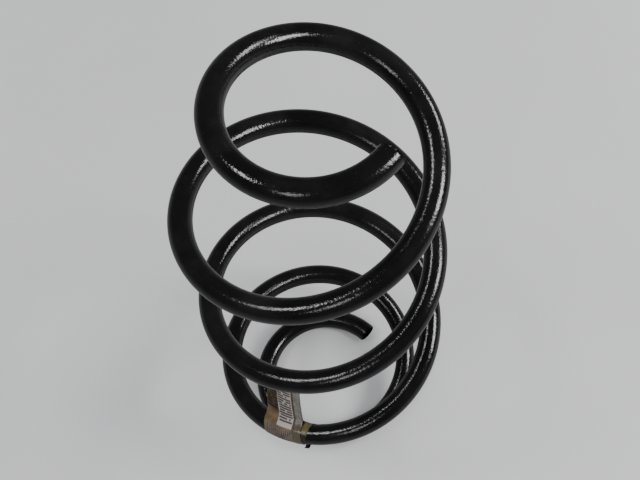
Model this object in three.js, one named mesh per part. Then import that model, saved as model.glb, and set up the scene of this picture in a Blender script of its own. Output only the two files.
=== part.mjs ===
// A coil spring for a car's suspension strut: one round steel bar, wound right-handed into open body
// coils with a smaller flat coil at each end, and a paper label folded round one of the coils.
//
// Sizes are in millimetres and angles in degrees. A place along the bar is given in turns, counted
// from the lower cut end upwards. +Z points up the spring, and the lower seat coil lies on z = 0.
//
// The bar is modelled in short spans, because a rigid solid can't be squeezed: the spans slide
// along Z past each other, each by its own share of the travel, on cut faces that stand upright.

import * as THREE from 'three';

// The bar and its coils. Every radius is measured to the middle of the bar.
const BAR_DIAMETER = 12;
const TURNS = 4.77;
const UPPER_END_BEARING = -44.5;
const LOWER_COIL_RADIUS = 40;
const BODY_COIL_RADIUS = 60.4;
const UPPER_COIL_RADIUS = 39.8;
const LOWER_COIL_CENTRE = [-5, 4];
const UPPER_COIL_CENTRE = [6.5, -4.5];

// How far along the bar each end coil keeps its radius, and how far it then takes to open out.
const LOWER_COIL_TURNS = 0.6;
const LOWER_FLARE_TURNS = 0.6;
const UPPER_COIL_TURNS = 0.34;
const UPPER_FLARE_TURNS = 0.76;

// The rise for each turn of the body coils, the flat stretch at each end, and the way between.
const BODY_PITCH = 101.4;
const LOWER_SEAT_TURNS = 0.6;
const LOWER_RISE_TURNS = 0.3;
const UPPER_SEAT_TURNS = 0.12;
const UPPER_RISE_TURNS = 0.48;

// The spans that the bar is modelled in.
const LOWER_DEAD_TURNS = 1;
const UPPER_DEAD_TURNS = 0.5;
const ACTIVE_SPANS = 13;
const SPAN_GAP = 0.3;

// The label: a paper strip wrapped round the bar, with its two ends stuck together as a flag that
// leans in over the core. The flag is stuck a little askew, so it runs back along the bar as it
// rises. A strip of clear tape and a yellow band lie beside it.
const LABEL_SPAN = 3;
const LABEL_SETBACK = 5;
const LABEL_WIDTH = 18.5;
const TAPE_WIDTH = 4;
const BAND_WIDTH = 5.5;
const PAPER_THICKNESS = 0.5;
const FLAG_REACH = 30;
const FLAG_LEAN = 42;
const FLAG_SKEW = 0.42;
const TRIM_GAP = 0.3;

// How finely the round shapes are cut.
const BAR_SIDES = 16;
const STEPS_PER_TURN = 32;

const BAR_RADIUS = BAR_DIAMETER / 2;
const BAR_CORNER = BAR_RADIUS / Math.cos(Math.PI / BAR_SIDES);
const RING_INSIDE = BAR_CORNER + TRIM_GAP;
const RING_OUTSIDE = RING_INSIDE + PAPER_THICKNESS;
const barCoat = { color: 0x0b0b0c, roughness: 0.28, metalness: 0.0 };
const labelPaper = { color: 0x8a7350, roughness: 0.7, metalness: 0.0 };
const clearTape = { color: 0xb9b6aa, roughness: 0.2, metalness: 0.0 };
const yellowBand = { color: 0x8c7a35, roughness: 0.5, metalness: 0.0 };

const clamp01 = (t) => Math.min(Math.max(t, 0), 1);
const smoothstep = (t) => clamp01(t) ** 2 * (3 - 2 * clamp01(t));

// The area under a smoothstep that starts at 0 and takes the given length to reach 1.
function rampArea(x, length) {
  const t = clamp01(x / length);
  return length * (t ** 3 - t ** 4 / 2) + Math.max(x - length, 0);
}

const lowerCoilShare = (turn) => 1 - smoothstep((turn - LOWER_COIL_TURNS) / LOWER_FLARE_TURNS);
const upperCoilShare = (turn) => 1 - smoothstep((TURNS - turn - UPPER_COIL_TURNS) / UPPER_FLARE_TURNS);

function coilRadius(turn) {
  return BODY_COIL_RADIUS
    + (LOWER_COIL_RADIUS - BODY_COIL_RADIUS) * lowerCoilShare(turn)
    + (UPPER_COIL_RADIUS - BODY_COIL_RADIUS) * upperCoilShare(turn);
}

// The pitch grows from nothing on the lower seat to its full value, and dies away at the upper seat.
function barHeight(turn) {
  const lowerFlat = turn - rampArea(turn - LOWER_SEAT_TURNS, LOWER_RISE_TURNS);
  const upperFlat = turn - rampArea(TURNS - UPPER_SEAT_TURNS, UPPER_RISE_TURNS)
    + rampArea(TURNS - turn - UPPER_SEAT_TURNS, UPPER_RISE_TURNS);
  return BAR_RADIUS + BODY_PITCH * (turn - lowerFlat - upperFlat);
}

function barPitch(turn) {
  const lower = smoothstep((turn - LOWER_SEAT_TURNS) / LOWER_RISE_TURNS);
  const upper = smoothstep((TURNS - turn - UPPER_SEAT_TURNS) / UPPER_RISE_TURNS);
  return BODY_PITCH * (lower + upper - 1);
}

const bearing = (turn) => THREE.MathUtils.degToRad(UPPER_END_BEARING) - 2 * Math.PI * (TURNS - turn);

function outward(turn) {
  return new THREE.Vector3(Math.cos(bearing(turn)), Math.sin(bearing(turn)), 0);
}

function barCentre(turn) {
  const [lower, upper] = [lowerCoilShare(turn), upperCoilShare(turn)];
  const axisX = LOWER_COIL_CENTRE[0] * lower + UPPER_COIL_CENTRE[0] * upper;
  const axisY = LOWER_COIL_CENTRE[1] * lower + UPPER_COIL_CENTRE[1] * upper;
  const middle = new THREE.Vector3(axisX, axisY, barHeight(turn));
  return middle.addScaledVector(outward(turn), coilRadius(turn));
}

const turnsFor = (length, turn) => length / (2 * Math.PI * coilRadius(turn));

// Bends a straight extrusion onto the bar's path. Its x runs towards the spring's axis, its y up,
// and its z, from 0 to 1, along the bar. Cross-sections stand upright, and are drawn out in height
// by the bar's slope, so that the bar keeps its thickness where it climbs. A flag, which is all that
// reaches past a strip's ring, also runs back along the bar, and keeps its width as it nears the axis.
function woundOntoBar(geometry, fromTurn, toTurn) {
  const place = geometry.attributes.position;
  for (let i = 0; i < place.count; i += 1) {
    const reach = Math.hypot(place.getX(i), place.getY(i));
    const standOff = Math.max(reach - RING_OUTSIDE, 0);
    const nearer = (place.getX(i) * standOff) / reach;
    const widening = BODY_COIL_RADIUS / (BODY_COIL_RADIUS - nearer);
    const straight = fromTurn + (toTurn - fromTurn) * place.getZ(i);
    const kept = labelMiddle() + (straight - labelMiddle()) * widening;
    const turn = (standOff > 0 ? kept : straight) - turnsFor(FLAG_SKEW * standOff, fromTurn);
    const slope = barPitch(turn) / (2 * Math.PI * coilRadius(turn));
    const point = barCentre(turn).addScaledVector(outward(turn), -place.getX(i));
    point.z += place.getY(i) * Math.hypot(1, slope);
    place.setXYZ(i, point.x, point.y, point.z);
  }
  geometry.computeVertexNormals();
  return geometry;
}

const activeSpanTurns = () => (TURNS - LOWER_DEAD_TURNS - UPPER_DEAD_TURNS) / ACTIVE_SPANS;
const labelSpanStart = () => LOWER_DEAD_TURNS + activeSpanTurns() * (LABEL_SPAN - 1);
const labelMiddle = () => labelSpanStart() + turnsFor(LABEL_SETBACK + LABEL_WIDTH / 2, labelSpanStart());

function extruded(outline, fromTurn, toTurn) {
  const steps = Math.max(Math.round((toTurn - fromTurn) * STEPS_PER_TURN), 2);
  const settings = { depth: 1, steps, curveSegments: BAR_SIDES, bevelEnabled: false };
  const straight = new THREE.ExtrudeGeometry(outline, settings);
  return woundOntoBar(straight, fromTurn, toTurn);
}

function named(name, geometry, finish) {
  const mesh = new THREE.Mesh(geometry, new THREE.MeshStandardMaterial(finish));
  mesh.name = name;
  return mesh;
}

// The bar's section, with flat facets at its top, its underside and its two flanks.
function barOutline() {
  const points = Array.from({ length: BAR_SIDES }, (_, i) => {
    const angle = ((i + 0.5) * 2 * Math.PI) / BAR_SIDES;
    return new THREE.Vector2(BAR_CORNER * Math.cos(angle), BAR_CORNER * Math.sin(angle));
  });
  return new THREE.Shape(points);
}

// One length of the bar. A sliding face stands back by half of the gap between two spans.
function barSpan(name, fromTurn, toTurn) {
  const start = fromTurn > 0 ? fromTurn + turnsFor(SPAN_GAP / 2, fromTurn) : fromTurn;
  const end = toTurn < TURNS ? toTurn - turnsFor(SPAN_GAP / 2, toTurn) : toTurn;
  return named(name, extruded(barOutline(), start, end), barCoat);
}

function barSpans() {
  const spans = [barSpan('lower_end_coil', 0, LOWER_DEAD_TURNS)];
  for (let i = 0; i < ACTIVE_SPANS; i += 1) {
    const from = LOWER_DEAD_TURNS + activeSpanTurns() * i;
    const number = String(i + 1).padStart(2, '0');
    spans.push(barSpan(`active_span_${number}`, from, from + activeSpanTurns()));
  }
  spans.push(barSpan('upper_end_coil', TURNS - UPPER_DEAD_TURNS, TURNS));
  return spans;
}

// A strip round the bar, seen along it: a closed ring, and for a label the flag that it ends in.
function wrapOutline(flagReach) {
  const up = THREE.MathUtils.degToRad(90 - FLAG_LEAN);
  const along = new THREE.Vector2(Math.cos(up), Math.sin(up));
  const across = new THREE.Vector2(along.y, -along.x).multiplyScalar(PAPER_THICKNESS);
  const root = flagReach > 0 ? Math.asin(PAPER_THICKNESS / RING_OUTSIDE) : 0;
  const outline = new THREE.Shape();
  outline.absarc(0, 0, RING_OUTSIDE, up + root, up + 2 * Math.PI - root, false);
  if (flagReach > 0) {
    const tip = along.clone().multiplyScalar(flagReach);
    outline.lineTo(tip.x + across.x, tip.y + across.y);
    outline.lineTo(tip.x - across.x, tip.y - across.y);
  }
  outline.closePath();
  outline.holes.push(new THREE.Path().absarc(0, 0, RING_INSIDE, 0, 2 * Math.PI, true));
  return outline;
}

// The label and its neighbours all lie on one span, each starting where the last one ends.
function trimStrips() {
  const strips = [
    ['paper_label', LABEL_WIDTH, FLAG_REACH, labelPaper],
    ['clear_tape', TAPE_WIDTH, FLAG_REACH, clearTape],
    ['colour_band', BAND_WIDTH, 0, yellowBand],
  ];
  let from = labelSpanStart() + turnsFor(LABEL_SETBACK, labelSpanStart());
  return strips.map(([name, width, flagReach, finish]) => {
    const to = from + turnsFor(width, from);
    const strip = named(name, extruded(wrapOutline(flagReach), from, to), finish);
    from = to + turnsFor(TRIM_GAP, to);
    return strip;
  });
}

const spring = new THREE.Group();
spring.add(...barSpans(), ...trimStrips());

export default spring;
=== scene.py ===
# A black coated coil spring from a car's suspension strut, standing on a pale floor.
#
# The bar is rebuilt as a fine round tube: two end pieces and short runs between them. A paper
# label, a strip of clear tape and a yellow marking band are wrapped round one coil.
# Lengths are in metres, and a place along the bar is given in turns from the lower cut end.

import math

import bpy
import numpy as np
from mathutils import Matrix, Vector


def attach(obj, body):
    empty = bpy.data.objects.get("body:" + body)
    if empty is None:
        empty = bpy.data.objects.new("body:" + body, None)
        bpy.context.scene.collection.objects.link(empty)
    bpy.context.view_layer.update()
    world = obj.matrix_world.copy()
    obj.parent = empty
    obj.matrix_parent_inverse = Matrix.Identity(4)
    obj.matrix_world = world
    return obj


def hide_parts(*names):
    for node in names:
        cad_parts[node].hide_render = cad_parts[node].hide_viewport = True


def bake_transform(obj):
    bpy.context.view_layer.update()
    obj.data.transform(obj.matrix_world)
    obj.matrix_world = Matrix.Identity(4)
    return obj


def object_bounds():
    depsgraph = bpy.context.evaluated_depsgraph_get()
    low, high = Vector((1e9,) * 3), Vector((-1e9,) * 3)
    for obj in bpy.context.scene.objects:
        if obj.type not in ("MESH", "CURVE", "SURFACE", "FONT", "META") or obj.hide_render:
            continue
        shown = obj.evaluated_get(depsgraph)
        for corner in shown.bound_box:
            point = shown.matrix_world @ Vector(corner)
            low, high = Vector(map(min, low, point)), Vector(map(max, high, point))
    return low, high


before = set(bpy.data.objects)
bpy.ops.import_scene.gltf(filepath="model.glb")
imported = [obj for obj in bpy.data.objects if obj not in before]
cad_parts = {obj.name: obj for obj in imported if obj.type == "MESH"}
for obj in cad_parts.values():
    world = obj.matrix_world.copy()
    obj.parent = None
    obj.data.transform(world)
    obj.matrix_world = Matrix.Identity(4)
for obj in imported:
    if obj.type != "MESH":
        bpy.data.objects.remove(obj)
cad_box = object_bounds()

# The bar and its coils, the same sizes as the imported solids.
BAR_RADIUS = 0.006
TURNS = 4.77
UPPER_END_BEARING = math.radians(-44.5)
LOWER_COIL_RADIUS = 0.040
BODY_COIL_RADIUS = 0.0604
UPPER_COIL_RADIUS = 0.0398
LOWER_COIL_CENTRE = (-0.005, 0.004)
UPPER_COIL_CENTRE = (0.0065, -0.0045)
LOWER_COIL_TURNS, LOWER_FLARE_TURNS = 0.6, 0.6
UPPER_COIL_TURNS, UPPER_FLARE_TURNS = 0.34, 0.76
BODY_PITCH = 0.1014
LOWER_SEAT_TURNS, LOWER_RISE_TURNS = 0.6, 0.3
UPPER_SEAT_TURNS, UPPER_RISE_TURNS = 0.12, 0.48

# The imported solids' spans, and where the bar's lower end piece stops and its upper end piece starts.
LOWER_DEAD_TURNS = 1.0
UPPER_DEAD_TURNS = 0.5
ACTIVE_SPANS = 13
SPAN_TURNS = (TURNS - LOWER_DEAD_TURNS - UPPER_DEAD_TURNS) / ACTIVE_SPANS
RUNS_PER_SPAN = 4
FOLLOW_FROM, FOLLOW_TO, FOLLOW_EASE = 0.7, 4.0, 0.5

# How finely the bar is cut, and the round on its cut ends.
BAR_SIDES = 56
STEPS_PER_TURN = 224
END_ROUND = 0.0011
END_DISH = 0.00025
NUDGE_TURNS = 1e-5
NUDGE_ANGLE = 1e-3

# The label and what is stuck beside it, laid along the bar from its place on the third span. The
# flag's two halves part where they are FLAG_ROOT times as far from the bar's middle as the wrap.
LABEL_NODE = "active_span_03"
LABEL_START = LOWER_DEAD_TURNS + 2 * SPAN_TURNS
LABEL_SETBACK = 0.0045
LABEL_WIDTH = 0.0210
LABEL_DRIFT = 0.0052
TAPE_OVERLAP = 0.0012
TAPE_WIDTH = 0.0044
BAND_GAP = 0.0003
BAND_WIDTH = 0.0052
BAND_TAIL = 0.0021
BAND_TAPER = 0.5
BAND_RAGGED = 0.00022
BAND_FROM, BAND_SWEEP, BAND_TAIL_SWEEP = math.radians(206), math.radians(330), math.radians(46)
PAPER_THICKNESS = 0.00022
TAPE_THICKNESS = 0.0001
PAPER_LIFT, TAPE_LIFT, BAND_LIFT = 0.00006, 0.00012, 0.0002
STRIP_ROOT = 0.0009
FLAG_REACH = 0.030
FLAG_LEAN = math.radians(42)
FLAG_SKEW = 0.54
FLAG_CURL = 0.0022
FLAG_ROOT = 1.35
FLAG_STEPS, WRAP_STEPS, BAND_STEPS, STRIP_STATIONS = 26, 60, 72, 13
PAPER_WAVER, TAPE_WAVER = 0.0016, 0.0008
WRAP_CLEARANCE, WRAP_EASE = 0.0001, 0.35
COARSE_RAGS, FINE_RAGS = 1900, 4300
TAIL_CURVE = 1.6


# ---- the bar's path ---------------------------------------------------------------------------

def smoothstep(t):
    t = np.clip(t, 0, 1)
    return t * t * (3 - 2 * t)


def ramp_area(x, length):
    """The area under a smoothstep that starts at 0 and takes the given length to reach 1."""
    t = np.clip(x / length, 0, 1)
    return length * (t ** 3 - t ** 4 / 2) + np.maximum(x - length, 0)


def end_shares(turn):
    lower = 1 - smoothstep((turn - LOWER_COIL_TURNS) / LOWER_FLARE_TURNS)
    upper = 1 - smoothstep((TURNS - turn - UPPER_COIL_TURNS) / UPPER_FLARE_TURNS)
    return lower, upper


def coil_radius(turn):
    lower, upper = end_shares(turn)
    return (BODY_COIL_RADIUS + (LOWER_COIL_RADIUS - BODY_COIL_RADIUS) * lower
            + (UPPER_COIL_RADIUS - BODY_COIL_RADIUS) * upper)


def bar_height(turn):
    lower_flat = turn - ramp_area(turn - LOWER_SEAT_TURNS, LOWER_RISE_TURNS)
    upper_flat = (turn - ramp_area(np.array(TURNS - UPPER_SEAT_TURNS), UPPER_RISE_TURNS)
                  + ramp_area(TURNS - turn - UPPER_SEAT_TURNS, UPPER_RISE_TURNS))
    return BAR_RADIUS + BODY_PITCH * (turn - lower_flat - upper_flat)


def bar_slope(turn):
    lower = smoothstep((turn - LOWER_SEAT_TURNS) / LOWER_RISE_TURNS)
    upper = smoothstep((TURNS - turn - UPPER_SEAT_TURNS) / UPPER_RISE_TURNS)
    return BODY_PITCH * (lower + upper - 1) / (2 * math.pi * coil_radius(turn))


def wound(turn, inward, up):
    """Points beside the bar: inward runs towards the spring's axis and up along Z, from its middle."""
    lower, upper = end_shares(turn)
    bearing = UPPER_END_BEARING - 2 * math.pi * (TURNS - turn)
    out = coil_radius(turn) - inward
    x = LOWER_COIL_CENTRE[0] * lower + UPPER_COIL_CENTRE[0] * upper + out * np.cos(bearing)
    y = LOWER_COIL_CENTRE[1] * lower + UPPER_COIL_CENTRE[1] * upper + out * np.sin(bearing)
    z = bar_height(turn) + up * np.hypot(1, bar_slope(turn))
    return np.stack(np.broadcast_arrays(x, y, z), axis=-1)


def turns_for(length, turn):
    return length / (2 * math.pi * float(coil_radius(np.array(turn))))


# ---- meshes -----------------------------------------------------------------------------------

def closed_skin(name, rows, normals, marks, material, thin=False):
    """A closed piece from rows of points. Each row is a loop, and the first and last are capped.

    normals gives the smooth direction at each point, and marks its length along and way round. A
    thin loop runs up one side of a strip and back down the other, and its caps join the two.
    """
    count, sides = rows.shape[:2]
    verts = rows.reshape(-1, 3).tolist()
    faces, corners = [], []
    for i in range(count - 1):
        for j in range(sides):
            k = (j + 1) % sides
            faces.append((i * sides + j, i * sides + k, (i + 1) * sides + k, (i + 1) * sides + j))
            corners.append(((i, j), (i, j + 1), (i + 1, j + 1), (i + 1, j)))
    cap = [tuple(range(sides))]
    if thin:
        cap = [(j, j + 1, sides - 2 - j, sides - 1 - j) for j in range(sides // 2 - 1)]
    far = (count - 1) * sides
    faces += [face[::-1] for face in cap] + [tuple(far + j for j in face) for face in cap]
    mesh = bpy.data.meshes.new(name)
    mesh.from_pydata(verts, [], faces)
    layer = mesh.uv_layers.new(name="marks")
    shading = []
    for face, around in zip(mesh.polygons, corners):
        face.use_smooth = True
        for loop, (i, j) in zip(face.loop_indices, around):
            layer.data[loop].uv = marks[i, j]
            shading.append(normals[i, j % sides])
    for face in mesh.polygons[len(corners):]:
        face.use_smooth = False
        for loop in face.loop_indices:
            row, vertex = divmod(mesh.loops[loop].vertex_index, sides)
            layer.data[loop].uv = marks[row, vertex]
            shading.append(face.normal)
    mesh.normals_split_custom_set([tuple(n) for n in shading])
    mesh.materials.append(material)
    piece = bpy.data.objects.new(name, mesh)
    bpy.context.collection.objects.link(piece)
    return piece


def bar_rows(turn, radius):
    """Loops of the bar's round section, with their normals, for lists of turns and radii."""
    angle = np.linspace(0, 2 * math.pi, BAR_SIDES, endpoint=False)[None, :]
    turn, radius = turn[:, None], radius[:, None]

    def at(t, a):
        return wound(t, -radius * np.cos(a), radius * np.sin(a))

    along = at(turn + NUDGE_TURNS, angle) - at(turn - NUDGE_TURNS, angle)
    around = at(turn, angle + NUDGE_ANGLE) - at(turn, angle - NUDGE_ANGLE)
    normal = np.cross(around, along)
    normal /= np.linalg.norm(normal, axis=-1, keepdims=True)
    return at(turn, angle), normal


def bar_marks(turn):
    way_round = np.arange(BAR_SIDES + 1) * 2 * math.pi * BAR_RADIUS / BAR_SIDES
    length = turn * 2 * math.pi * BODY_COIL_RADIUS
    return np.stack(np.broadcast_arrays(length[:, None], way_round[None, :]), axis=-1)


def cut_end():
    """A cut end's loops, from the start of its rounded edge to the middle of its dished face.

    Gives how far back from the end each one lies, its radius, and how squarely it faces ahead.
    """
    curve = np.linspace(0, math.pi / 2, 9)
    face = np.array([0.92, 0.7, 0.4, 0.02])
    inset = np.concatenate([END_ROUND * (1 - np.sin(curve)), END_DISH * (1 - face)])
    radius = np.concatenate([BAR_RADIUS - END_ROUND * (1 - np.cos(curve)),
                             face * (BAR_RADIUS - END_ROUND)])
    return inset, radius, np.concatenate([np.sin(curve), np.ones(len(face))])


def bar_piece(name, start, end, material):
    """A run of the bar. Its cut end, where it has one, is rounded over and slightly dished."""
    steps = max(round((end - start) * STEPS_PER_TURN), 2)
    turn = np.linspace(start, end, steps + 1)
    radius = np.full(steps + 1, BAR_RADIUS)
    lean = np.zeros(steps + 1)
    inset, end_radius, end_lean = cut_end()
    if start == 0:
        back = inset * turns_for(1, start)
        keep = turn > back[0]
        turn = np.concatenate([back[::-1], turn[keep]])
        radius = np.concatenate([end_radius[::-1], radius[keep]])
        lean = np.concatenate([-end_lean[::-1], lean[keep]])
    if end == TURNS:
        back = inset * turns_for(1, end)
        keep = turn < end - back[0]
        turn = np.concatenate([turn[keep], end - back])
        radius = np.concatenate([radius[keep], end_radius])
        lean = np.concatenate([lean[keep], end_lean])
    rows, normals = bar_rows(turn, radius)
    ahead = wound(turn + NUDGE_TURNS, 0, 0) - wound(turn - NUDGE_TURNS, 0, 0)
    ahead /= np.linalg.norm(ahead, axis=-1, keepdims=True)
    tilt = np.abs(lean)[:, None, None]
    normals = normals * np.sqrt(1 - tilt ** 2) + ahead[:, None, :] * lean[:, None, None]
    piece = closed_skin(name, rows, normals, bar_marks(turn), material)
    return piece


def bend_with_travel(piece, start, end):
    """Works out the flat chord between the run's two ends, and bakes the run's placement into its
    mesh.
    """
    here, there = [Vector(wound(np.array(turn), 0, 0)) for turn in (start, end)]
    chord = there - here
    chord.z = 0
    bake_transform(piece)


# ---- shader groups ----------------------------------------------------------------------------

def new_group(name, inputs, outputs):
    group = bpy.data.node_groups.new(name, "ShaderNodeTree")
    for label, kind, value in inputs:
        socket = group.interface.new_socket(label, in_out="INPUT", socket_type=kind)
        if value is not None:
            socket.default_value = value
    for label, kind in outputs:
        group.interface.new_socket(label, in_out="OUTPUT", socket_type=kind)
    nodes = group.nodes
    return group, nodes.new("NodeGroupInput"), nodes.new("NodeGroupOutput")


def wire(tree, source, target):
    tree.links.new(source, target)


def math_node(tree, operation, first, second=0.0, third=0.0):
    node = tree.nodes.new("ShaderNodeMath")
    node.operation = operation
    for socket, value in zip(node.inputs, (first, second, third)):
        if isinstance(value, (int, float)):
            socket.default_value = value
        else:
            wire(tree, value, socket)
    return node.outputs[0]


def noise(tree, where, scale, detail=2.0, roughness=0.5):
    node = tree.nodes.new("ShaderNodeTexNoise")
    node.inputs["Detail"].default_value = detail
    node.inputs["Roughness"].default_value = roughness
    if isinstance(scale, (int, float)):
        node.inputs["Scale"].default_value = scale
    else:
        wire(tree, scale, node.inputs["Scale"])
    wire(tree, where, node.inputs["Vector"])
    return node.outputs["Fac"]


def between(tree, value, low, high):
    """0 below low and 1 above high, with a smooth way between."""
    node = tree.nodes.new("ShaderNodeMapRange")
    node.interpolation_type = "SMOOTHSTEP"
    node.inputs["From Min"].default_value = low
    node.inputs["From Max"].default_value = high
    wire(tree, value, node.inputs["Value"])
    return node.outputs["Result"]


def orange_peel_group():
    """The fine pebbling of a sprayed or baked-on coat, with slow waves under it."""
    group, given, made = new_group(
        "orange_peel",
        [("Place", "NodeSocketVector", None), ("Peel Size", "NodeSocketFloat", 950.0),
         ("Wave Size", "NodeSocketFloat", 170.0), ("Wave Share", "NodeSocketFloat", 0.5)],
        [("Height", "NodeSocketFloat")])
    peel = noise(group, given.outputs["Place"], given.outputs["Peel Size"], 2.0, 0.55)
    wave = noise(group, given.outputs["Place"], given.outputs["Wave Size"], 1.0, 0.4)
    low = math_node(group, "MULTIPLY", wave, given.outputs["Wave Share"])
    wire(group, math_node(group, "ADD", peel, low), made.inputs["Height"])
    return group


def settled_dust_group():
    """Pale specks and a thin film, thickest where the surface faces up."""
    group, given, made = new_group(
        "settled_dust",
        [("Place", "NodeSocketVector", None), ("Normal", "NodeSocketVector", None),
         ("Amount", "NodeSocketFloat", 0.5)],
        [("Dust", "NodeSocketFloat")])
    facing = group.nodes.new("ShaderNodeSeparateXYZ")
    wire(group, given.outputs["Normal"], facing.inputs[0])
    upward = between(group, facing.outputs["Z"], -0.1, 0.9)
    film = between(group, noise(group, given.outputs["Place"], 45.0, 4.0, 0.6), 0.42, 0.72)
    specks = between(group, noise(group, given.outputs["Place"], 1500.0, 1.0, 0.5), 0.70, 0.78)
    laid = math_node(group, "MULTIPLY_ADD", film, 0.35, specks)
    laid = math_node(group, "MULTIPLY", laid, upward)
    wire(group, math_node(group, "MULTIPLY", laid, given.outputs["Amount"]), made.inputs["Dust"])
    return group


def rubbed_streaks_group():
    """Faint rub marks, drawn out along the bar, where coils knock together in handling."""
    group, given, made = new_group(
        "rubbed_streaks",
        [("Marks", "NodeSocketVector", None), ("Stretch", "NodeSocketFloat", 9.0)],
        [("Rub", "NodeSocketFloat")])
    parts = group.nodes.new("ShaderNodeSeparateXYZ")
    wire(group, given.outputs["Marks"], parts.inputs[0])
    joined = group.nodes.new("ShaderNodeCombineXYZ")
    wire(group, math_node(group, "DIVIDE", parts.outputs["X"], given.outputs["Stretch"]),
         joined.inputs["X"])
    wire(group, parts.outputs["Y"], joined.inputs["Y"])
    streak = between(group, noise(group, joined.outputs[0], 900.0, 3.0, 0.6), 0.60, 0.74)
    patch = between(group, noise(group, given.outputs["Marks"], 28.0, 2.0, 0.5), 0.48, 0.66)
    wire(group, math_node(group, "MULTIPLY", streak, patch), made.inputs["Rub"])
    return group


ORANGE_PEEL = orange_peel_group()
SETTLED_DUST = settled_dust_group()
RUBBED_STREAKS = rubbed_streaks_group()


# ---- materials --------------------------------------------------------------------------------

class Finish:
    """A material being built: its tree, its one surface shader, and the places on the surface."""

    def __init__(self, name):
        self.material = bpy.data.materials.new(name)
        self.material.use_nodes = True
        self.tree = self.material.node_tree
        self.surface = self.tree.nodes["Principled BSDF"]
        self.places = self.tree.nodes.new("ShaderNodeTexCoord")
        self.geometry = self.tree.nodes.new("ShaderNodeNewGeometry")

    def group(self, group, **values):
        node = self.tree.nodes.new("ShaderNodeGroup")
        node.node_tree = group
        for label, value in values.items():
            socket = node.inputs[label.replace("_", " ")]
            if isinstance(value, (int, float)):
                socket.default_value = value
            else:
                wire(self.tree, value, socket)
        return node.outputs[0]

    def blend(self, share, low, high):
        """low where share is 0 and high where it is 1. Either may be a colour or a socket."""
        node = self.tree.nodes.new("ShaderNodeMix")
        node.data_type = "RGBA"
        wire(self.tree, share, node.inputs["Factor"])
        for socket, colour in ((node.inputs[6], low), (node.inputs[7], high)):
            if isinstance(colour, tuple):
                socket.default_value = (*colour, 1)
            else:
                wire(self.tree, colour, socket)
        return node.outputs[2]

    def bump(self, height, strength, distance):
        node = self.tree.nodes.new("ShaderNodeBump")
        node.inputs["Strength"].default_value = strength
        node.inputs["Distance"].default_value = distance
        wire(self.tree, height, node.inputs["Height"])
        wire(self.tree, node.outputs[0], self.surface.inputs["Normal"])

    def feed(self, socket, value):
        target = self.surface.inputs[socket]
        if isinstance(value, (int, float)):
            target.default_value = value
        elif isinstance(value, tuple):
            target.default_value = (*value, 1)
        else:
            wire(self.tree, value, target)


def bar_coat():
    finish = Finish("bar_coat")
    tree, where = finish.tree, finish.places.outputs["Object"]
    dust = finish.group(SETTLED_DUST, Place=where, Normal=finish.geometry.outputs["Normal"],
                        Amount=0.10)
    rub = finish.group(RUBBED_STREAKS, Marks=finish.places.outputs["UV"])
    tone = between(tree, noise(tree, where, 30.0, 3.0), 0.3, 0.7)
    coat = finish.blend(tone, (0.0022, 0.0022, 0.0026), (0.0045, 0.0044, 0.0045))
    coat = finish.blend(math_node(tree, "MULTIPLY", rub, 0.2), coat, (0.030, 0.030, 0.031))
    finish.feed("Base Color", finish.blend(dust, coat, (0.16, 0.15, 0.14)))
    gloss = math_node(tree, "MULTIPLY_ADD", tone, 0.05, 0.10)
    gloss = math_node(tree, "MULTIPLY_ADD", rub, 0.18, gloss)
    finish.feed("Roughness", math_node(tree, "MULTIPLY_ADD", dust, 0.5, gloss))
    finish.feed("Specular IOR Level", 0.5)
    peel = finish.group(ORANGE_PEEL, Place=where)
    finish.bump(peel, 0.7, 0.00016)
    return finish.material


# The label's patches, each from one side to the other and from its top, the flag's tip, to its foot.
PANEL = (0.0088, 0.0184, 0.0, 0.0284)
PANEL_MARGIN = (0.0188, 0.0201, 0.0, 0.0300)
CODE = (0.0091, 0.0179, 0.0, 0.0254)
NOTES = (0.0004, 0.0086, 0.0, 0.0200)
FOOT = (0.0014, 0.0198, 0.0298, 0.0362)
FOOT_BAR = 0.0014
PRINT_SOFTNESS = 0.00015


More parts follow.
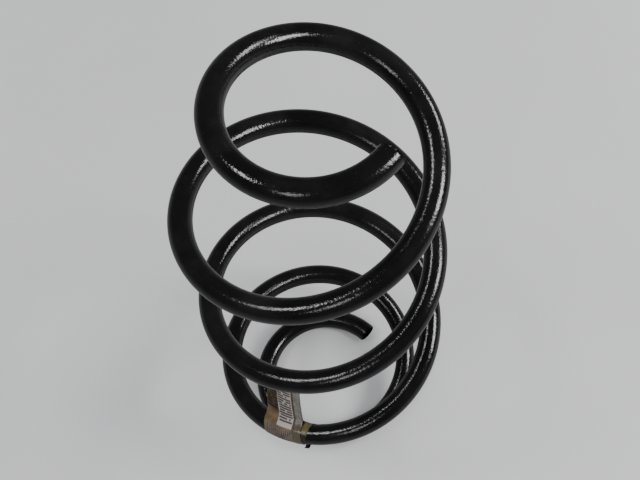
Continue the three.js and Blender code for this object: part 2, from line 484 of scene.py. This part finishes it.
def label_paper():
    """Brown label stock with a white panel. Rows of plain bars and dashes stand for its print."""
    finish = Finish("label_paper")
    tree = finish.tree
    parts = tree.nodes.new("ShaderNodeSeparateXYZ")
    wire(tree, finish.places.outputs["UV"], parts.inputs[0])
    across, down = parts.outputs["X"], parts.outputs["Y"]
    where = finish.places.outputs["Object"]

    def stretch(value, low, high):
        soft = PRINT_SOFTNESS
        inside = between(tree, value, low - soft, low + soft)
        return math_node(tree, "SUBTRACT", inside, between(tree, value, high - soft, high + soft))

    def patch(left, right, top, foot):
        return math_node(tree, "MULTIPLY", stretch(across, left, right), stretch(down, top, foot))

    def printed(paper, mask, strength, colour):
        return finish.blend(math_node(tree, "MULTIPLY", mask, strength), paper, colour)

    def rows_of_dashes(dash, gap, seed, fill):
        """Short bars in even rows. Each bar is kept or left out by a noise of its own cell."""
        column = math_node(tree, "FLOOR", math_node(tree, "DIVIDE", across, dash))
        row = math_node(tree, "FLOOR", math_node(tree, "DIVIDE", down, gap))
        cell = tree.nodes.new("ShaderNodeCombineXYZ")
        wire(tree, column, cell.inputs["X"])
        wire(tree, row, cell.inputs["Y"])
        cell.inputs["Z"].default_value = seed
        chance = tree.nodes.new("ShaderNodeTexWhiteNoise")
        wire(tree, cell.outputs[0], chance.inputs["Vector"])
        kept = math_node(tree, "LESS_THAN", chance.outputs["Value"], fill)
        within = math_node(tree, "FRACT", math_node(tree, "DIVIDE", down, gap))
        line = math_node(tree, "MULTIPLY", between(tree, within, 0.04, 0.16),
                         math_node(tree, "SUBTRACT", 1.0, between(tree, within, 0.72, 0.86)))
        return math_node(tree, "MULTIPLY", kept, line)

    fibres = noise(tree, where, 900.0, 3.0, 0.6)
    blotches = between(tree, noise(tree, where, 120.0, 3.0), 0.35, 0.68)
    kraft = finish.blend(blotches, (0.080, 0.048, 0.021), (0.145, 0.094, 0.046))
    paper = finish.blend(patch(*PANEL), kraft, (0.37, 0.335, 0.305))
    paper = printed(paper, patch(*PANEL_MARGIN), 0.8, (0.050, 0.034, 0.022))
    code = math_node(tree, "MULTIPLY", patch(*CODE), rows_of_dashes(0.0012, 0.0016, 3.0, 0.86))
    paper = printed(paper, code, 0.95, (0.020, 0.016, 0.016))
    notes = patch(*NOTES)
    paper = printed(paper, notes, 0.45, (0.030, 0.024, 0.014))
    notes = math_node(tree, "MULTIPLY", notes, rows_of_dashes(0.0015, 0.0020, 11.0, 0.80))
    paper = printed(paper, notes, 0.92, (0.012, 0.010, 0.006))
    foot = patch(*FOOT)
    bars = math_node(tree, "FRACT", math_node(tree, "DIVIDE", across, FOOT_BAR))
    worn = between(tree, noise(tree, where, 420.0, 2.0), 0.40, 0.60)
    paper = printed(paper, foot, 0.45, (0.19, 0.18, 0.165))
    foot = math_node(tree, "MULTIPLY", foot, between(tree, bars, 0.30, 0.50))
    foot = math_node(tree, "MULTIPLY", foot, math_node(tree, "MULTIPLY_ADD", worn, 0.5, 0.5))
    paper = finish.blend(foot, paper, (0.028, 0.018, 0.014))
    dust = finish.group(SETTLED_DUST, Place=where, Normal=finish.geometry.outputs["Normal"],
                        Amount=0.3)
    finish.feed("Base Color", finish.blend(dust, paper, (0.30, 0.27, 0.23)))
    finish.feed("Roughness", math_node(tree, "MULTIPLY_ADD", fibres, 0.2, 0.5))
    finish.bump(fibres, 0.35, 0.00012)
    return finish.material


def clear_tape():
    finish = Finish("clear_tape")
    tree, where = finish.tree, finish.places.outputs["Object"]
    parts = tree.nodes.new("ShaderNodeSeparateXYZ")
    wire(tree, finish.places.outputs["UV"], parts.inputs[0])
    cloud = between(tree, noise(tree, where, 260.0, 3.0, 0.6), 0.3, 0.75)
    glue = between(tree, parts.outputs["Y"], 0.0200, 0.0250)
    film = finish.blend(cloud, (0.17, 0.155, 0.135), (0.27, 0.262, 0.245))
    finish.feed("Base Color", finish.blend(glue, film, (0.100, 0.083, 0.055)))
    veil = math_node(tree, "MULTIPLY_ADD", cloud, 0.16, 0.46)
    finish.feed("Alpha", math_node(tree, "MULTIPLY_ADD", glue, 0.25, veil))
    finish.feed("Roughness", math_node(tree, "MULTIPLY_ADD", cloud, 0.12, 0.16))
    finish.bump(finish.group(ORANGE_PEEL, Place=where, Peel_Size=380.0), 0.3, 0.0002)
    return finish.material


def yellow_band():
    finish = Finish("yellow_band")
    tree, where = finish.tree, finish.places.outputs["Object"]
    parts = tree.nodes.new("ShaderNodeSeparateXYZ")
    wire(tree, finish.places.outputs["UV"], parts.inputs[0])
    grime = between(tree, noise(tree, where, 420.0, 4.0, 0.65), 0.40, 0.66)
    faded_and_shaded = finish.blend(grime, (0.108, 0.088, 0.028), (0.055, 0.042, 0.017))
    # Painted shade: the band's colour goes near black over the outer flank of the bar, at the far end
    # of its wrap. The same dark is laid on its loose tail.
    outside = between(tree, parts.outputs["Y"], 0.0288, 0.0308)
    inside = math_node(tree, "SUBTRACT", 1.0, between(tree, parts.outputs["Y"], 0.006, 0.010))
    under = math_node(tree, "MAXIMUM", outside, inside)
    dust = finish.group(SETTLED_DUST, Place=where, Normal=finish.geometry.outputs["Normal"],
                        Amount=0.3)
    # Painted shade laid into the band's colour where under is set.
    faded_and_shaded = finish.blend(under, faded_and_shaded, (0.010, 0.008, 0.006))
    finish.feed("Base Color", finish.blend(dust, faded_and_shaded, (0.22, 0.20, 0.15)))
    finish.feed("Roughness", math_node(tree, "MULTIPLY_ADD", grime, 0.2, 0.3))
    finish.bump(finish.group(ORANGE_PEEL, Place=where, Peel_Size=700.0), 0.3, 0.0002)
    return finish.material


BAR_COAT = bar_coat()
LABEL_PAPER = label_paper()
CLEAR_TAPE = clear_tape()
YELLOW_BAND = yellow_band()


# ---- the spring -------------------------------------------------------------------------------

def build_bar():
    """The two rigid end pieces of the bar, and the runs between them.

    The label lies on one longer run.
    """
    lower_end = bar_piece("lower_bar_end", 0, FOLLOW_FROM, BAR_COAT)
    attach(lower_end, "lower_end")
    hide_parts("lower_end_coil")
    upper_from = FOLLOW_TO + FOLLOW_EASE
    upper_end = bar_piece("upper_bar_end", upper_from, TURNS, BAR_COAT)
    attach(upper_end, "upper_end")
    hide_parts("upper_end_coil")

    spans = [("lower_end_coil", FOLLOW_FROM, LOWER_DEAD_TURNS)]
    for i in range(ACTIVE_SPANS):
        start = LOWER_DEAD_TURNS + SPAN_TURNS * i
        spans.append((f"active_span_{i + 1:02d}", start, start + SPAN_TURNS))
    spans.append(("upper_end_coil", TURNS - UPPER_DEAD_TURNS, upper_from))
    number = 0
    for node, start, end in spans:
        cuts = np.linspace(start, end, RUNS_PER_SPAN + 1)
        if node == LABEL_NODE:
            cuts = cuts[cuts != cuts[1]]
        for here, there in zip(cuts[:-1], cuts[1:]):
            number += 1
            run = bar_piece(f"bar_run_{number:02d}", here, there, BAR_COAT)
            bend_with_travel(run, here, there)
            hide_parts(node)


def followed(points):
    """A path's points (inward, up), the directions that face out of it, and the way travelled."""
    tangent = np.gradient(points, axis=0)
    tangent /= np.linalg.norm(tangent, axis=1, keepdims=True)
    outward = np.stack([tangent[:, 1], -tangent[:, 0]], axis=1)
    steps = np.linalg.norm(np.diff(points, axis=0), axis=1)
    return points, outward, np.concatenate([[0], np.cumsum(steps)])


def flag_path(ring, layer, reach, hidden_reach):
    """A strip's path in the bar's section, from the flag's tip, round the bar, and back up."""
    along = np.array([math.sin(FLAG_LEAN), math.cos(FLAG_LEAN)])
    face = np.array([-along[1], along[0]])
    root = math.asin((layer + WRAP_CLEARANCE) / ring) + WRAP_EASE
    down = np.linspace(reach, ring * FLAG_ROOT, FLAG_STEPS)
    curl = FLAG_CURL * ((down - ring) / (reach - ring)) ** 2
    visible = [along * d + face * (layer + c) for d, c in zip(down, curl)]
    lean = math.atan2(along[1], along[0])
    sweep = np.linspace(lean + root, lean + 2 * math.pi - root, WRAP_STEPS)
    bend = [np.array([math.cos(a), math.sin(a)]) * ring for a in sweep]
    back = np.linspace(ring * FLAG_ROOT, hidden_reach, FLAG_STEPS)
    curl = FLAG_CURL * ((back - ring) / (reach - ring)) ** 2
    hidden = [along * d - face * (layer - c) for d, c in zip(back, curl)]
    return followed(np.array(visible + bend + hidden))


def band_path():
    """The band goes round the bar from its loose tail, which stands off the outside underneath."""
    sweep = np.linspace(BAND_FROM, BAND_FROM + BAND_SWEEP, BAND_STEPS)
    tail = np.clip(1 - (sweep - BAND_FROM) / BAND_TAIL_SWEEP, 0, 1)
    spread = BAR_RADIUS + BAND_LIFT + BAND_TAIL * tail ** TAIL_CURVE
    return followed(np.stack([spread * np.cos(sweep), spread * np.sin(sweep)], axis=1))


def strip_piece(name, start, width, path, thickness, material, waver=0.0, ragged=0.0,
                skew=0.0, taper=0.0):
    """A thin strip laid across the bar: the path is swept along the bar over the strip's width.

    What stands off the bar runs back along it by the skew, and what lies on the bar drifts forward
    towards the side away from the flag. The strip keeps its width whether it is near the spring's
    axis or far from it, unless it tapers on its way round the outside.
    """
    points, outward, travelled = path
    share = np.linspace(0, 1, STRIP_STATIONS)
    outer, inner = points + outward * thickness / 2, points - outward * thickness / 2
    loop = np.concatenate([inner, outer[::-1]])
    way = np.concatenate([travelled, travelled[::-1]])
    count = len(loop)
    reach = np.hypot(loop[:, 0], loop[:, 1])
    stand_off = reach - BAR_RADIUS - STRIP_ROOT
    widening = BODY_COIL_RADIUS / (BODY_COIL_RADIUS - loop[:, 0])
    outside = (1 - loop[:, 0] / reach) / 2
    narrowed = width * (1 - taper * outside)
    middle = (LABEL_SETBACK + LABEL_WIDTH / 2) - (start - LABEL_START) / turns_for(1, LABEL_START)
    towards_flag = loop[:, 0] * math.sin(FLAG_LEAN) + loop[:, 1] * math.cos(FLAG_LEAN)
    drift = LABEL_DRIFT * (1 - towards_flag / reach) / 2
    back = skew * np.maximum(stand_off, 0) - drift
    tip = np.clip(stand_off / (FLAG_REACH - BAR_RADIUS), 0, 1) ** 2
    edge = ragged * (np.sin(way * COARSE_RAGS) + 0.6 * np.sin(way * FINE_RAGS + 1))
    rows, marks = [], []
    for s in share:
        place = middle + (s * narrowed - middle) * widening
        at = start + turns_for(1, start) * (place - back + edge * (2 * abs(s - 0.5)) ** 6)
        wave = waver * math.sin(s * 2.6 + 0.4) * tip
        shift = loop + outward[:1] * wave[:, None]
        rows.append(wound(at, shift[:, 0], shift[:, 1]))
        marks.append(np.stack([np.full(count, s * width), way], axis=-1))
    rows, marks = np.array(rows), np.array(marks)
    marks = np.concatenate([marks, marks[:, :1]], axis=1)
    along = np.gradient(rows, axis=0)
    around = np.roll(rows, -1, axis=1) - np.roll(rows, 1, axis=1)
    normals = np.cross(around, along)
    normals /= np.linalg.norm(normals, axis=-1, keepdims=True) + 1e-12
    piece = closed_skin(name, rows, normals, marks, material, thin=True)
    return piece


def build_label():
    """The label, the tape over its right edge, and the band, laid on the bar."""
    run_end = LABEL_START + 2 * SPAN_TURNS / RUNS_PER_SPAN
    paper_from = LABEL_START + turns_for(LABEL_SETBACK, LABEL_START)
    tape_from = paper_from + turns_for(LABEL_WIDTH - TAPE_OVERLAP, LABEL_START)
    band_from = tape_from + turns_for(TAPE_WIDTH + BAND_GAP, LABEL_START)
    paper_ring = BAR_RADIUS + PAPER_LIFT + PAPER_THICKNESS / 2
    tape_ring = BAR_RADIUS + TAPE_LIFT + PAPER_THICKNESS + TAPE_THICKNESS / 2
    paper_path = flag_path(paper_ring, PAPER_THICKNESS * 0.55, FLAG_REACH, FLAG_REACH - 0.0012)
    tape_path = flag_path(tape_ring, PAPER_THICKNESS * 1.3, FLAG_REACH - 0.0006, FLAG_REACH - 0.0022)
    paper = strip_piece("label_flag", paper_from, LABEL_WIDTH, paper_path, PAPER_THICKNESS,
                        LABEL_PAPER, waver=PAPER_WAVER, skew=FLAG_SKEW)
    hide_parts("paper_label")
    tape = strip_piece("tape_strip", tape_from, TAPE_WIDTH, tape_path, TAPE_THICKNESS,
                       CLEAR_TAPE, waver=TAPE_WAVER, skew=FLAG_SKEW)
    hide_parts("clear_tape")
    band = strip_piece("band_wrap", band_from, BAND_WIDTH, band_path(), TAPE_THICKNESS * 2,
                       YELLOW_BAND, ragged=BAND_RAGGED, taper=BAND_TAPER)
    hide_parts("colour_band")
    for piece in (paper, tape, band):
        bend_with_travel(piece, LABEL_START, run_end)


build_bar()
build_label()


# ---- floor, light and camera ------------------------------------------------------------------

SPRING_MIDDLE = (cad_box[0] + cad_box[1]) / 2
FLOOR_REACH = 9.0
LIGHT_DISTANCE = 1.7
# The pale room fills the shadows, but gloss finds only its dim corners.
ROOM_FILL = 0.70
ROOM_GLOSS = 0.10
# Painted shade: the floor's colour where the bar reflects it.
PAINTED_FLOOR_SHADE_IN_GLOSS = (0.25, 0.25, 0.255)


def pale_floor():
    finish = Finish("pale_floor")
    tree, where = finish.tree, finish.places.outputs["Object"]
    mottle = between(tree, noise(tree, where, 3.0, 3.0, 0.5), 0.3, 0.7)
    rays = tree.nodes.new("ShaderNodeLightPath")
    pale = finish.blend(mottle, (0.585, 0.587, 0.595), (0.632, 0.634, 0.642))
    # Painted shade: the floor is painted darker in glossy rays, which dims its reflection in the bar.
    finish.feed("Base Color", finish.blend(rays.outputs["Is Glossy Ray"], pale, PAINTED_FLOOR_SHADE_IN_GLOSS))
    finish.feed("Roughness", 0.55)
    finish.bump(noise(tree, where, 900.0, 2.0), 0.05, 0.0001)
    mesh = bpy.data.meshes.new("pale_floor")
    reach = FLOOR_REACH
    corners = [(-reach, -reach, 0), (reach, -reach, 0), (reach, reach, 0), (-reach, reach, 0)]
    mesh.from_pydata(corners, [], [(0, 1, 2, 3)])
    mesh.materials.append(finish.material)
    floor = bpy.data.objects.new("pale_floor", mesh)
    bpy.context.collection.objects.link(floor)


def panel_light(name, from_top, bearing, radial, sideways, power):
    """A soft panel that faces the spring. from_top is its angle from straight up, in degrees."""
    tilt, turn = math.radians(from_top), math.radians(bearing)
    back = Vector((math.sin(tilt) * math.cos(turn), math.sin(tilt) * math.sin(turn), math.cos(tilt)))
    side = Vector((-math.sin(turn), math.cos(turn), 0))
    rise = back.cross(side)
    lamp = bpy.data.lights.new(name, "AREA")
    lamp.shape = "RECTANGLE"
    lamp.size, lamp.size_y = sideways, radial
    lamp.energy = power
    holder = bpy.data.objects.new(name, lamp)
    turned = Matrix((side, rise, back)).transposed()
    holder.matrix_world = Matrix.Translation(SPRING_MIDDLE + back * LIGHT_DISTANCE) @ turned.to_4x4()
    bpy.context.collection.objects.link(holder)


def set_light():
    panel_light("right_window", 54, -20, 0.64, 0.48, 20)
    panel_light("right_window_far_pane", 60, 14, 0.46, 0.44, 9)
    panel_light("left_window", 34, 176, 0.30, 0.42, 6)
    panel_light("front_ceiling", 42, 241, 0.42, 0.36, 3)
    world = bpy.data.worlds.new("room")
    world.use_nodes = True
    tree = world.node_tree
    rays = tree.nodes.new("ShaderNodeLightPath")
    strength = math_node(tree, "MULTIPLY_ADD", rays.outputs["Is Glossy Ray"],
                         ROOM_GLOSS - ROOM_FILL, ROOM_FILL)
    wire(tree, strength, tree.nodes["Background"].inputs["Strength"])
    tree.nodes["Background"].inputs["Color"].default_value = (0.97, 0.98, 1.0, 1)
    bpy.context.scene.world = world


CAMERA_PLACE = Vector((0.0014, -0.2519, 0.7986))
CAMERA_YAW = 0.007
CAMERA_PITCH = 1.151
CAMERA_ROLL = -0.138
CAMERA_LENS = 70.3


def set_camera():
    """The camera looks steeply down from the front, over the upper end coil."""
    level = math.cos(CAMERA_PITCH)
    ahead = Vector((math.sin(CAMERA_YAW) * level, math.cos(CAMERA_YAW) * level,
                    -math.sin(CAMERA_PITCH)))
    right = Vector((math.cos(CAMERA_YAW), -math.sin(CAMERA_YAW), 0))
    up = right.cross(ahead)
    turned_right = right * math.cos(CAMERA_ROLL) + up * math.sin(CAMERA_ROLL)
    turned_up = up * math.cos(CAMERA_ROLL) - right * math.sin(CAMERA_ROLL)
    data = bpy.data.cameras.new("view")
    data.lens = CAMERA_LENS
    data.sensor_width = 36
    data.clip_start = 0.01
    camera = bpy.data.objects.new("view", data)
    turned = Matrix((turned_right, turned_up, -ahead)).transposed()
    camera.matrix_world = Matrix.Translation(CAMERA_PLACE) @ turned.to_4x4()
    bpy.context.collection.objects.link(camera)
    bpy.context.scene.camera = camera


pale_floor()
set_light()
set_camera()
